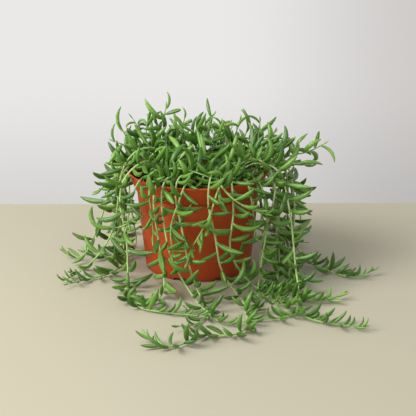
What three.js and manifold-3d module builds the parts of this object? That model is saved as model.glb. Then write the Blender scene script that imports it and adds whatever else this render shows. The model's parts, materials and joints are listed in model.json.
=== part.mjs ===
// Potted string of bananas: a trailing succulent with curved, banana-shaped leaves, in its nursery pot.
// Millimetres, +Z up. The origin is the centre of the pot's underside, on the surface that it stands on.
// +X is to the right and -Y is to the front. The longest stems hang over the rim and lie out along the
// surface. Leaves grow along every stem wherever there is room for them.

import * as THREE from 'three';
import { mergeVertices } from 'three/addons/utils/BufferGeometryUtils.js';
import Module from 'manifold-3d';

const wasm = await Module();
wasm.setup();

// ---- driving dimensions ----

const potHeight = 114;
const rimRadius = 79;
const lipRound = 0.4;
const rimFootRadius = 70.4; // the collar's lower edge, which stands proud of the wall
const rimFootHeight = 92.8;
const ledgeDrop = 0.6; // height of the slope under the collar
const wallTopRadius = 69;
const baseRadius = 60;
const baseRound = 3;
const wallThickness = 1.4;
const floorThickness = 1.6;
const potSides = 40;

const notchCount = 8;
const notchWidth = 9;
const notchHeight = 3.6;
const notchDepth = 6;

const soilTop = 101;
const soilCrown = 1.5; // how much higher the soil stands at its middle
const soilSides = 20;
const seatGap = 0.3; // under the soil, and round each planted stem
const soilGap = 0.4; // between the soil and the pot's wall

const stemRadius = 1;
const stemSides = 4;
const stemStep = 4; // spacing of the points along a stem
const stemFlatness = 0.5; // how far a stem's solid may cut its curve's corners
const plantedDepth = 6;
const wander = 1.3; // how far a stem strays from its route
const wallClearance = 2.9; // from the middle of the pot's wall to a stem's middle
const stemClearance = 3; // between the middles of two stems
const restHeight = 1.5; // a stem's middle above the surface
const settleRounds = 40;
const stemStiffness = 0.2; // how much of a kink each round takes out

const leafLength = 31; // a grown leaf
const leafRadius = 3.2;
const youngLength = 15; // a leaf at a growing tip
const uprightYoungLength = 20; // the same on an upright shoot
const leafSamples = 9; // points along a leaf that are tested against what is already there
const leafGap = 0.3;
const leafTries = 9; // turns round the stem that are tried for each leaf
const goldenTurn = 2.39996; // turn from one leaf to the next round the stem
const firstLeaf = 5; // from the soil, or from the parent stem, to the first leaf
const tipRun = 60; // leaves grow to full size over this length behind a tip
const uprightTipRun = 22;
const lowHeight = 10; // a stem below this lies on the surface
const steepFall = -0.4; // a stem that falls faster than this hangs
const leafShare = 2; // one leaf in this many is made solid
const mostBend = 1.75; // leaves curled tighter than this are left out of the solids

// ---- stems: points along each one, from the soil outwards ----
// Each entry is a main stem, followed by any side shoots, which start on it.

const ground = soilTop;

const stemRoutes = {
  vine_left: [
    [[[-18, 8, ground], [-38, 0, 134], [-62, -12, 142], [-78, -20, 131], [-85, -26, 112], [-87, -28, 92],
      [-90, -28, 68], [-97, -28, 44], [-111, -27, 22], [-127, -34, 6], [-137, -48, 3], [-146, -63, 4]]],
    [[[-35, 18, ground], [-55, 10, 128], [-78, 4, 125], [-93, 2, 108], [-101, 0, 86], [-107, 0, 66],
      [-113, 0, 47], [-121, 0, 28], [-128, 3, 10], [-136, 4, 3], [-145, 8, 3], [-155, 22, 6]]],
    [[[-40, 40, ground], [-58, 42, 124], [-72, 44, 120], [-80, 47, 98], [-80, 48, 60], [-76, 48, 26],
      [-74, 40, 6], [-78, 24, 3], [-92, 12, 3], [-106, 12, 3], [-122, 18, 3], [-134, 30, 6]]],
    [[[-50, 22, ground], [-64, 26, 124], [-78, 27, 120], [-87, 26, 98], [-87, 24, 56], [-83, 21, 22],
      [-79, 10, 4], [-82, -8, 3], [-93, -30, 3], [-108, -48, 3], [-124, -58, 3], [-140, -78, 5]]],
    [[[-28, -18, ground], [-48, -30, 132], [-68, -42, 130], [-81, -50, 115], [-83, -55, 88], [-79, -60, 56],
      [-77, -62, 28], [-76, -67, 8], [-74, -86, 3], [-70, -114, 3], [-61, -138, 3], [-45, -145, 3],
      [-26, -151, 3], [-8, -156, 3], [6, -160, 5]]],
    [[[-30, 32, ground], [-60, 20, 134], [-84, 8, 120], [-92, 2, 94], [-94, -2, 68], [-92, -6, 46],
      [-90, -9, 30]]],
    [[[-48, -4, ground], [-70, -12, 126], [-86, -18, 112], [-89, -22, 92], [-87, -26, 70], [-84, -32, 50],
      [-83, -35, 36]]],
    [[[-42, 4, ground], [-70, -2, 132], [-90, -6, 112], [-99, -8, 98], [-108, -10, 92], [-115, -10, 92]]],
  ],
  vine_front: [
    [[[-44, -22, ground], [-56, -46, 122], [-65, -54, 115], [-71, -59, 98], [-74, -62, 80], [-77, -64, 66]]],
    [[[-30, -42, ground], [-44, -60, 122], [-52, -70, 112], [-51, -75, 92], [-49, -77, 70], [-48, -79, 54]]],
    [[[-22, -44, ground], [-38, -64, 123], [-46, -74, 113], [-46, -79, 84], [-42, -82, 54], [-36, -84, 28],
      [-34, -92, 9], [-39, -110, 3], [-46, -127, 3], [-60, -134, 3], [-70, -122, 4], [-66, -104, 5]]],
    [[[-14, -34, ground], [-30, -60, 124], [-38, -77, 115], [-39, -83, 95], [-36, -87, 74], [-30, -92, 50],
      [-20, -101, 28], [-8, -114, 10], [2, -130, 3], [11, -150, 3], [20, -172, 3], [34, -184, 3],
      [44, -178, 5]]],
    [[[-2, -28, ground], [-15, -60, 126], [-23, -82, 116], [-22, -87, 92], [-16, -93, 66], [-9, -101, 40],
      [-1, -113, 18], [5, -126, 5], [9, -146, 3], [6, -168, 3], [-2, -184, 3], [-16, -190, 6]]],
    [[[6, -40, ground], [-8, -66, 122], [-17, -81, 115], [-21, -87, 96], [-29, -90, 80], [-29, -92, 64],
      [-26, -94, 46], [-25, -96, 32]]],
    [[[12, -26, ground], [16, -60, 126], [13, -83, 116], [11, -88, 98], [14, -91, 80], [20, -94, 58],
      [22, -94, 40], [28, -94, 22], [38, -99, 6], [47, -116, 3], [51, -138, 3], [52, -162, 3],
      [50, -183, 3], [43, -200, 3], [32, -209, 3], [18, -204, 3], [5, -200, 3], [-3, -213, 3],
      [-14, -230, 3], [-28, -236, 3], [-41, -229, 3], [-52, -212, 8]]],
    [[[26, -34, ground], [25, -64, 124], [21, -82, 115], [17, -88, 96], [11, -93, 82], [1, -97, 66],
      [-9, -100, 54], [-12, -103, 40]]],
    [[[38, -28, ground], [36, -58, 124], [36, -77, 116], [38, -83, 98], [38, -85, 82], [33, -87, 58],
      [36, -86, 40], [45, -84, 24], [55, -80, 9], [63, -84, 3], [72, -100, 3], [68, -122, 3],
      [56, -132, 5]]],
    [[[20, -50, ground], [20, -70, 122], [27, -86, 114], [40, -91, 104], [54, -90, 96], [66, -88, 90],
      [76, -86, 87]]],
    [[[50, -34, ground], [52, -56, 122], [56, -64, 113], [58, -71, 94], [60, -74, 76], [62, -76, 62]]],
  ],
  vine_right: [
    [[[32, -18, ground], [56, -30, 136], [76, -42, 130], [85, -50, 112], [81, -57, 90], [74, -61, 68],
      [70, -62, 48], [68, -62, 28], [68, -64, 12], [72, -76, 3], [81, -100, 3], [89, -124, 3],
      [99, -147, 3], [112, -164, 3], [126, -173, 3], [142, -180, 3], [156, -186, 3], [166, -190, 5]]],
    [[[42, -4, ground], [66, -12, 148], [90, -20, 138], [103, -26, 112], [107, -30, 80], [106, -36, 50],
      [104, -46, 26], [99, -62, 9], [96, -82, 3], [100, -102, 3], [110, -118, 3], [122, -124, 3],
      [138, -118, 3], [153, -106, 6]]],
    [[[46, 14, ground], [72, 10, 138], [94, 6, 122], [104, 4, 92], [107, 2, 60], [109, 0, 34],
      [115, -4, 14], [126, -12, 4], [144, -30, 3], [163, -48, 3], [178, -54, 3], [192, -40, 7]]],
    [[[52, -28, ground], [74, -34, 132], [92, -46, 116], [99, -58, 88], [102, -70, 58], [105, -88, 28],
      [108, -112, 8], [105, -138, 3], [95, -157, 3], [78, -166, 3], [60, -167, 3]]],
    [[[38, 30, ground], [66, 24, 138], [88, 16, 118], [93, 12, 88], [92, 8, 56], [90, 2, 28],
      [94, -10, 8], [100, -26, 3], [112, -46, 3], [118, -66, 5]]],
    [[[30, -32, ground], [60, -30, 132], [82, -32, 118], [87, -34, 90], [86, -38, 58], [84, -44, 26],
      [87, -60, 7], [92, -82, 3], [86, -106, 3], [88, -128, 4]]],
    [[[54, 16, ground], [76, 2, 132], [96, -8, 120], [101, -14, 94], [100, -18, 66], [97, -22, 42],
      [97, -26, 26]]],
    [[[56, -12, ground], [76, -18, 122], [88, -24, 106], [91, -28, 76], [90, -34, 44], [89, -48, 18],
      [84, -68, 4], [78, -90, 3], [76, -112, 3], [82, -134, 5]]],
    [[[52, -40, ground], [64, -50, 120], [72, -56, 104], [74, -64, 66], [70, -72, 28], [65, -86, 5],
      [63, -110, 3], [62, -134, 3], [66, -152, 5]]],
    [[[60, 0, ground], [82, -2, 126], [100, -6, 108], [112, -12, 84], [116, -18, 62]]],
  ],
  vine_back: [
    [[[30, 44, ground], [52, 52, 126], [64, 62, 116], [72, 68, 92], [76, 74, 60], [78, 80, 28],
      [84, 90, 5], [96, 100, 3], [112, 104, 3], [128, 98, 5]]],
    [[[18, 50, ground], [32, 66, 124], [38, 78, 116], [41, 86, 92], [42, 92, 58], [40, 98, 24],
      [38, 110, 4], [46, 124, 3], [60, 130, 4]]],
    [[[2, 46, ground], [8, 70, 126], [8, 82, 116], [8, 88, 94], [7, 92, 70], [8, 95, 48]]],
    [[[-14, 48, ground], [-24, 68, 126], [-30, 80, 116], [-33, 87, 90], [-34, 92, 56], [-32, 98, 22],
      [-36, 110, 4], [-50, 122, 3], [-66, 124, 4]]],
    [[[-30, 46, ground], [-46, 60, 124], [-55, 68, 116], [-60, 76, 90], [-62, 82, 56], [-66, 90, 22],
      [-76, 98, 4], [-92, 100, 3], [-108, 92, 5]]],
    [[[50, 36, ground], [66, 42, 126], [78, 46, 114], [86, 50, 86], [90, 54, 54], [92, 60, 24],
      [100, 66, 5], [114, 66, 3], [128, 56, 5]]],
    [[[-8, 54, ground], [-12, 74, 120], [-14, 84, 112], [-12, 90, 86], [-10, 96, 56], [-6, 104, 24],
      [2, 116, 4], [18, 124, 4]]],
    [[[-56, 32, ground], [-70, 44, 122], [-80, 54, 106], [-86, 60, 80], [-90, 66, 54]]],
  ],
  shoot: [
    [[[-30, 6, ground], [-46, 8, 124], [-58, 10, 142], [-67, 10, 158], [-74, 9, 170]],
      [[-58, 10, 142], [-60, 16, 154], [-58, 19, 164]], [[-46, 8, 124], [-52, -4, 138], [-60, -10, 148]]],
    [[[-20, 20, ground], [-30, 22, 126], [-37, 24, 146], [-40, 25, 162], [-37, 26, 180]],
      [[-37, 24, 146], [-44, 18, 158], [-49, 14, 166]], [[-30, 22, 126], [-24, 12, 138], [-24, 6, 150]]],
    [[[-8, 16, ground], [-14, 18, 124], [-20, 20, 142], [-18, 20, 156], [-14, 20, 166]],
      [[-20, 20, 142], [-26, 26, 152], [-28, 30, 160]], [[-14, 18, 124], [-6, 24, 138], [-4, 28, 150]]],
    [[[-4, 2, ground], [-3, 6, 124], [0, 9, 144], [8, 10, 160], [19, 10, 174]],
      [[0, 9, 144], [-5, 2, 154], [-8, -4, 160]], [[-3, 6, 124], [-14, 2, 134], [-20, -4, 142]]],
    [[[26, 22, ground], [36, 26, 124], [42, 29, 142], [45, 30, 154], [47, 30, 164]],
      [[36, 26, 124], [30, 32, 138], [29, 38, 149]], [[36, 26, 124], [38, 14, 138], [36, 6, 148]]],
    [[[44, 16, ground], [56, 18, 122], [66, 20, 138], [71, 20, 152], [70, 20, 162]],
      [[56, 18, 122], [62, 10, 136], [61, 4, 146]], [[66, 20, 138], [76, 24, 144], [84, 26, 148]]],
    [[[58, 4, ground], [72, 6, 116], [84, 9, 127], [94, 10, 133]],
      [[72, 6, 116], [76, 16, 128], [84, 22, 134]]],
    [[[56, -6, ground], [76, -4, 120], [98, -1, 128], [118, 0, 131], [130, 0, 135], [142, 0, 143]],
      [[98, -1, 128], [108, 5, 136], [114, 8, 143]], [[76, -4, 120], [82, -10, 132], [90, -14, 138]]],
    [[[50, -18, ground], [70, -22, 118], [90, -24, 124], [106, -22, 127], [118, -18, 123]],
      [[70, -22, 118], [74, -30, 128], [84, -38, 134]]],
    [[[-40, -2, ground], [-58, 0, 121], [-72, 0, 136], [-80, 0, 152], [-86, 0, 164]],
      [[-72, 0, 136], [-84, -5, 144], [-93, -8, 147]], [[-58, 0, 121], [-66, 8, 132], [-76, 14, 140]]],
    [[[36, 36, ground], [46, 39, 124], [54, 41, 142], [57, 42, 154]],
      [[46, 39, 124], [56, 46, 134], [64, 50, 142]]],
    [[[10, 34, ground], [18, 38, 126], [25, 41, 144], [27, 42, 156]],
      [[18, 38, 126], [12, 46, 138], [12, 52, 148]]],
    [[[-4, 34, ground], [0, 40, 126], [5, 44, 142], [8, 45, 155]],
      [[0, 40, 126], [-10, 44, 138], [-16, 46, 148]]],
    [[[-36, 26, ground], [-47, 30, 124], [-54, 33, 140], [-57, 35, 152]],
      [[-47, 30, 124], [-44, 40, 136], [-44, 46, 146]], [[-47, 30, 124], [-60, 28, 132], [-72, 26, 138]]],
    [[[-34, -22, ground], [-40, -36, 120], [-30, -50, 129], [-8, -60, 129], [14, -66, 124], [34, -66, 121]],
      [[-30, -50, 129], [-22, -56, 137], [-16, -58, 146]]],
    [[[30, -10, ground], [26, -20, 122], [10, -28, 136], [-12, -32, 142], [-34, -34, 143]],
      [[26, -20, 122], [34, -36, 132], [40, -48, 133]], [[10, -28, 136], [6, -40, 142], [2, -48, 146]]],
    [[[-24, -22, ground], [-37, -31, 120], [-49, -39, 132], [-57, -46, 136]],
      [[-37, -31, 120], [-34, -42, 132], [-34, -54, 137]]],
    [[[38, -12, ground], [47, -25, 122], [58, -38, 134], [65, -48, 136]],
      [[47, -25, 122], [44, -38, 132], [44, -50, 137]]],
    [[[4, 10, ground], [9, 4, 126], [14, -1, 142], [18, -5, 154]],
      [[9, 4, 126], [2, -7, 138], [-1, -15, 146]], [[9, 4, 126], [20, 6, 138], [26, 10, 150]]],
    [[[20, 58, ground], [27, 65, 119], [34, 75, 130], [37, 84, 136]],
      [[27, 65, 119], [18, 70, 130], [14, 76, 138]]],
    [[[-28, 54, ground], [-39, 59, 119], [-49, 65, 132], [-55, 69, 143]],
      [[-39, 59, 119], [-34, 66, 132], [-32, 70, 140]]],
  ],
};

// ---- materials ----

const leafGreen = new THREE.Color(0.13, 0.29, 0.04);
const potColour = new THREE.Color(0.52, 0.08, 0.015);
const soilColour = new THREE.Color(0.05, 0.035, 0.025);

function paint(colour, roughness) {
  return new THREE.MeshStandardMaterial({ color: colour, roughness, metalness: 0 });
}

// ---- solids ----

// A closed mesh as a solid, with its faces turned outwards.
function toSolid(geometry) {
  const bare = geometry.clone();
  bare.deleteAttribute('normal');
  bare.deleteAttribute('uv');
  const merged = mergeVertices(bare, 1e-5);
  const vertProperties = new Float32Array(merged.attributes.position.array);
  const triVerts = new Uint32Array(merged.index.array);
  if (signedVolume(vertProperties, triVerts) < 0) triVerts.reverse();
  return new wasm.Manifold(new wasm.Mesh({ numProp: 3, vertProperties, triVerts }));
}

function signedVolume(positions, corners) {
  const [a, b, c] = [new THREE.Vector3(), new THREE.Vector3(), new THREE.Vector3()];
  let volume = 0;
  for (let i = 0; i < corners.length; i += 3) {
    a.fromArray(positions, corners[i] * 3);
    b.fromArray(positions, corners[i + 1] * 3);
    c.fromArray(positions, corners[i + 2] * 3);
    volume += a.dot(b.cross(c)) / 6;
  }
  return volume;
}

function toGeometry(solid) {
  const mesh = solid.getMesh();
  const geometry = new THREE.BufferGeometry();
  geometry.setAttribute('position', new THREE.BufferAttribute(mesh.vertProperties, 3));
  geometry.setIndex(new THREE.BufferAttribute(mesh.triVerts, 1));
  geometry.computeVertexNormals();
  return geometry;
}

// A profile of [radius, height] points turned round Z.
function turned(profile, sides) {
  const points = profile.map(([radius, height]) => new THREE.Vector2(radius, height));
  return new THREE.LatheGeometry(points, sides).rotateX(Math.PI / 2);
}

// ---- pot ----

// The pot's outside from its foot to its lip.
function outerProfile() {
  const foot = [45, 90].map((turn) => turn * Math.PI / 180).map((angle) => [
    baseRadius - baseRound + baseRound * Math.sin(angle),
    baseRound - baseRound * Math.cos(angle),
  ]);
  return [
    [baseRadius - baseRound, 0],
    ...foot,
    [wallTopRadius, rimFootHeight - ledgeDrop],
    [rimFootRadius, rimFootHeight],
    [rimRadius, potHeight - lipRound],
    [rimRadius - lipRound, potHeight],
  ];
}

// The pot's inside from its floor to its lip.
function innerProfile() {
  return [
    [baseRadius - baseRound, floorThickness],
    [baseRadius - wallThickness, baseRound + floorThickness],
    [wallTopRadius - wallThickness, rimFootHeight],
    [rimFootRadius - wallThickness + lipRound, rimFootHeight + floorThickness],
    [rimRadius - wallThickness - lipRound, potHeight],
  ];
}

function potSolid() {
  const profile = [[0, 0], ...outerProfile(), ...innerProfile().reverse(), [0, floorThickness]];
  let pot = toSolid(turned(profile, potSides));
  for (let i = 0; i < notchCount; i += 1) {
    const notch = new THREE.BoxGeometry(notchDepth, notchWidth, notchHeight * 2);
    notch.translate(baseRadius - notchDepth / 2 + 1, 0, 0);
    notch.rotateZ((i + 0.5) * 2 * Math.PI / notchCount);
    pot = pot.subtract(toSolid(notch));
  }
  return pot;
}

// Middle line of the pot's wall, as [radius, height] points.
function wallLine() {
  const half = wallThickness / 2;
  return [
    [0, floorThickness / 2],
    [baseRadius - 2, floorThickness / 2],
    [baseRadius - half, baseRound],
    [wallTopRadius - half, rimFootHeight - ledgeDrop],
    [rimFootRadius - half, rimFootHeight + half],
    [rimRadius - half - lipRound, potHeight - half],
  ];
}

const potWall = wallLine();

// The nearest point of the wall's middle line to a point, in the plane through the pot's axis.
function nearestWall(point) {
  const radius = Math.hypot(point.x, point.y);
  let best = { distance: Infinity };
  for (let i = 1; i < potWall.length; i += 1) {
    const [r0, z0] = potWall[i - 1];
    const [r1, z1] = potWall[i];
    const along = (radius - r0) * (r1 - r0) + (point.z - z0) * (z1 - z0);
    const part = THREE.MathUtils.clamp(along / ((r1 - r0) ** 2 + (z1 - z0) ** 2), 0, 1);
    const dr = radius - (r0 + (r1 - r0) * part);
    const dz = point.z - (z0 + (z1 - z0) * part);
    const distance = Math.hypot(dr, dz);
    if (distance < best.distance) best = { distance, dr, dz, radius };
  }
  return best;
}

// ---- soil ----

function soilHeightAt(x, y) {
  const part = Math.hypot(x, y) / wallTopRadius;
  return soilTop + soilCrown * (1 - part * part);
}

function soilSolid(stems) {
  const bottom = floorThickness + seatGap;
  const [floorEdge, foot, shoulder, collar, lip] = innerProfile();
  const brim = soilTop - 1;
  const reach = (brim - collar[1]) / (lip[1] - collar[1]);
  const edge = collar[0] + (lip[0] - collar[0]) * reach - soilGap;
  const profile = [
    [0, bottom],
    [floorEdge[0] - seatGap, bottom],
    [foot[0] - soilGap, foot[1] + seatGap],
    [shoulder[0] - soilGap, shoulder[1]],
    [collar[0] - soilGap, collar[1]],
    [edge, brim],
    ...[0.85, 0.6, 0.3].map((part) => [edge * part, soilHeightAt(edge * part, 0)]),
    [0, soilHeightAt(0, 0)],
  ];
  let soil = toSolid(turned(profile, soilSides));
  for (const stem of stems.filter(({ parent }) => !parent)) {
    const path = thinned(stem.points, stemFlatness).slice(0, 3);
    path[0] = path[0].clone().setZ(path[0].z - seatGap);
    soil = soil.subtract(tubeSolid(path, stemRadius + seatGap * 2));
  }
  return soil;
}

// ---- stems ----

function randomNumbers(seed) {
  let state = seed;
  return () => {
    state = (Math.imul(state, 1664525) + 1013904223) >>> 0;
    return state / 4294967296;
  };
}

// Evenly spaced points on the smooth curve through a route's points.
function pointsAlong(route) {
  const knots = route.map(([x, y, z]) => new THREE.Vector3(x, y, z));
  const last = knots.length - 1;
  const dense = [knots[0].clone()];
  const substeps = 16;
  for (let i = 0; i < last; i += 1) {
    const leaving = knots[i + 1].clone().sub(knots[Math.max(i - 1, 0)]).multiplyScalar(0.5);
    const arriving = knots[Math.min(i + 2, last)].clone().sub(knots[i]).multiplyScalar(0.5);
    for (let k = 1; k <= substeps; k += 1) {
      const t = k / substeps;
      const near = 2 * t ** 3 - 3 * t ** 2 + 1;
      dense.push(knots[i].clone().multiplyScalar(near)
        .addScaledVector(leaving, t ** 3 - 2 * t ** 2 + t)
        .addScaledVector(knots[i + 1], 1 - near)
        .addScaledVector(arriving, t ** 3 - t ** 2));
    }
  }
  const points = [dense[0].clone()];
  let owed = stemStep;
  for (let i = 1; i < dense.length; i += 1) {
    let from = dense[i - 1];
    let rest = from.distanceTo(dense[i]);
    while (rest >= owed) {
      from = from.clone().lerp(dense[i], owed / rest);
      points.push(from.clone());
      rest -= owed;
      owed = stemStep;
    }
    owed -= rest;
  }
  return points;
}

// Gives a stem the small, slow bends that it grows with. Its planted end and its root stay put.
function stray(points, seed) {
  const random = randomNumbers(seed);
  const waves = [0, 1, 2].map(() => [0.15 + 0.2 * random(), 6.28 * random(), 6.28 * random()]);
  points.forEach((point, i) => {
    const share = Math.min(1, i / 6) * wander / 2;
    for (const [rate, phase, other] of waves) {
      point.x += share * Math.sin(i * rate + phase);
      point.y += share * Math.sin(i * rate + other);
    }
  });
}

function growStems() {
  const stems = [];
  const addStem = (vine, points, parent, pinned) => {
    stray(points, 411 + 17 * stems.length);
    stems.push({ vine, points, parent, pinned });
  };
  for (const [kind, vines] of Object.entries(stemRoutes)) {
    vines.forEach(([mainRoute, ...sideRoutes], number) => {
      const vine = `${kind}_${number + 1}`;
      const points = pointsAlong(mainRoute);
      const buried = [plantedDepth, plantedDepth / 2].map((depth) => points[0].clone().setZ(ground - depth));
      addStem(vine, [...buried, ...points], null, 4);
      const main = stems[stems.length - 1];
      for (const route of sideRoutes) addStem(vine, pointsAlong(route), main, 1);
    });
  }
  return stems;
}

// Nearest points of two segments, as how far along each they lie.
function nearestParts(a0, a1, b0, b1) {
  const along = a1.clone().sub(a0);
  const across = b1.clone().sub(b0);
  const gap = a0.clone().sub(b0);
  const a = along.dot(along);
  const e = across.dot(across);
  const f = across.dot(gap);
  const c = along.dot(gap);
  const b = along.dot(across);
  const flat = a * e - b * b;
  let s = flat > 1e-9 ? THREE.MathUtils.clamp((b * f - c * e) / flat, 0, 1) : 0.5;
  const t = THREE.MathUtils.clamp((b * s + f) / e, 0, 1);
  s = THREE.MathUtils.clamp((b * t - c) / a, 0, 1);
  return [s, t];
}

// Things kept by the cell of space that they are in, so that what is near a point is quick to find.
class Cells {
  constructor(size) {
    this.size = size;
    this.lists = new Map();
  }

  add(point, entry) {
    const key = point.clone().divideScalar(this.size).floor().toArray().join();
    if (!this.lists.has(key)) this.lists.set(key, []);
    this.lists.get(key).push(entry);
  }

  near(point) {
    const found = [];
    const [x, y, z] = point.clone().divideScalar(this.size).floor().toArray();
    for (let n = 0; n < 27; n += 1) {
      const key = [x + n % 3 - 1, y + Math.floor(n / 3) % 3 - 1, z + Math.floor(n / 9) - 1].join();
      found.push(...this.lists.get(key) ?? []);
    }
    return found;
  }
}

// How far each point of each stem is pushed by the stems too close to it.
function stemPushes(stems) {
  const pushes = stems.map((stem) => stem.points.map(() => new THREE.Vector3()));
  const cells = new Cells(8);
  const stretches = stems.flatMap((stem, owner) => stem.points.slice(1).map((end, i) => {
    const start = stem.points[i];
    return { owner, i, start, end, middle: start.clone().lerp(end, 0.5) };
  }));
  stretches.forEach((stretch) => cells.add(stretch.middle, stretch));
  for (const one of stretches) {
    for (const two of cells.near(one.middle)) {
      const later = two.owner > one.owner || (two.owner === one.owner && two.i > one.i + 3);
      const joined = stems[two.owner].parent === stems[one.owner] && two.i < 3;
      if (!later || joined) continue;
      const [s, t] = nearestParts(one.start, one.end, two.start, two.end);
      const gap = one.start.clone().lerp(one.end, s).sub(two.start.clone().lerp(two.end, t));
      const distance = gap.length();
      if (distance >= stemClearance || distance < 1e-6) continue;
      const amount = (stemClearance - distance) / distance / 2;
      pushes[one.owner][one.i].addScaledVector(gap, amount * (1 - s));
      pushes[one.owner][one.i + 1].addScaledVector(gap, amount * s);
      pushes[two.owner][two.i].addScaledVector(gap, -amount * (1 - t));
      pushes[two.owner][two.i + 1].addScaledVector(gap, -amount * t);
    }
  }
  return pushes;
}

// Moves stems apart, off the pot's wall and up to the surface, a little at a time.
function settleStems(stems) {
  for (let round = 0; round < settleRounds; round += 1) {
    const pushes = stemPushes(stems);
    stems.forEach((stem, owner) => {
      const before = stem.points.map((point) => point.clone());
      stem.points.forEach((point, i) => {
        if (i < stem.pinned) return;
        point.add(pushes[owner][i].clampLength(0, 1));
        if (i + 1 < stem.points.length) {
          const middle = before[i - 1].clone().add(before[i + 1]).multiplyScalar(0.5);
          point.addScaledVector(middle.sub(before[i]), stemStiffness);
        }
        const wall = nearestWall(point);
        if (wall.distance < wallClearance) {
          const out = wallClearance / wall.distance - 1;
          const spread = 1 + wall.dr * out / wall.radius;
          point.set(point.x * spread, point.y * spread, point.z + wall.dz * out);
        }
        point.z = Math.max(point.z, restHeight);
      });
    });
    for (const { points, parent } of stems) {
      if (!parent) continue;
      const start = points[0].clone();
      const closer = (a, b) => (a.distanceTo(start) <= b.distanceTo(start) ? a : b);
      points[0].copy(parent.points.reduce(closer));
    }
  }
}

// Keeps only the points that a stem's straight stretches need.
function thinned(points, flatness) {
  let worst = 0;
  let at = 0;
  const line = new THREE.Line3(points[0], points[points.length - 1]);
  const foot = new THREE.Vector3();
  for (let i = 1; i + 1 < points.length; i += 1) {
    const distance = line.closestPointToPoint(points[i], true, foot).distanceTo(points[i]);
    if (distance > worst) [worst, at] = [distance, i];
  }
  if (worst <= flatness) return [points[0], points[points.length - 1]];
  return [...thinned(points.slice(0, at + 1), flatness), ...thinned(points.slice(at), flatness).slice(1)];
}

// A curve of straight stretches that an extrusion meets at exactly its own points.
class StemPath extends THREE.Curve {
  constructor(points) {
    super();
    this.points = points;
  }

  getUtoTmapping(u) {
    return u;
  }

  getPoint(t, target = new THREE.Vector3()) {
    const place = THREE.MathUtils.clamp(t, 0, 1) * (this.points.length - 1);
    const index = Math.min(Math.floor(place), this.points.length - 2);
    return target.lerpVectors(this.points[index], this.points[index + 1], place - index);
  }
}

function tubeSolid(path, radius) {
  const section = new THREE.Shape();
  for (let i = 0; i < stemSides; i += 1) {
    const angle = 2 * Math.PI * i / stemSides;
    section[i ? 'lineTo' : 'moveTo'](radius * Math.cos(angle), radius * Math.sin(angle));
  }
  const along = { steps: path.length - 1, extrudePath: new StemPath(path) };
  return toSolid(new THREE.ExtrudeGeometry(section, along));
}

// ---- leaves ----

// A leaf's middle line is an arc that starts along `heading` and bends towards `lift`.
function pointOnLeaf(leaf, part) {
  const angle = leaf.bend * part;
  return leaf.base.clone()
    .addScaledVector(leaf.heading, leaf.length / leaf.bend * Math.sin(angle))
    .addScaledVector(leaf.lift, leaf.length / leaf.bend * (1 - Math.cos(angle)));
}

// Thin stalk, full middle, pointed tip.
function thicknessOnLeaf(leaf, part) {
  const swell = Math.max(Math.sin(Math.PI * part ** 0.92), 0) ** 0.8;
  return leaf.radius * Math.min(1, 0.14 + 0.93 * swell);
}

// Whether a leaf would keep clear of the surface, the soil, the pot, the stems and the other leaves.
function leafFits(leaf, crowd, stemIndex, pointIndex) {
  const foot = new THREE.Vector3();
  const rimMiddle = rimRadius - 3;
  let before = null;
  for (let k = 1; k <= leafSamples; k += 1) {
    const part = k / leafSamples;
    const point = pointOnLeaf(leaf, part);
    const thickness = thicknessOnLeaf(leaf, part);
    const radius = Math.hypot(point.x, point.y);
    const within = radius < rimMiddle;
    if (point.z < thickness + leafGap) return false;
    if (radius < rimRadius && point.z < soilHeightAt(point.x, point.y) + thickness + leafGap) return false;
    if (nearestWall(point).distance < thickness + 1.1 + leafGap) return false;
    if (before !== null && point.z < potHeight && before !== within) return false;
    before = point.z < potHeight ? within : null;
    for (const item of crowd.near(point)) {
      if (item.line) {
        const own = item.stem === stemIndex && Math.abs(item.index - pointIndex) <= 2 && part < 0.4;
        if (own) continue;
        const distance = item.line.closestPointToPoint(point, true, foot).distanceTo(point);
        if (distance < thickness + stemRadius + leafGap) return false;
      } else if (part > 0.2 && item.point.distanceTo(point) < thickness + item.radius + leafGap) {
        return false;
      }
    }
  }
  return true;
}

// The direction that leaves a stem at a slant, turned round it. `rise` flattens it.
function leafHeading(along, turn, slant, rise) {
  const side = new THREE.Vector3(0, 0, 1).cross(along);
  if (side.length() < 0.2) side.set(1, 0, 0).cross(along);
  side.normalize();
  const other = along.clone().cross(side);
  const out = side.multiplyScalar(Math.cos(turn)).addScaledVector(other, Math.sin(turn));
  out.z *= rise;
  return along.clone().multiplyScalar(Math.cos(slant)).addScaledVector(out, Math.sin(slant)).normalize();
}

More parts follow.
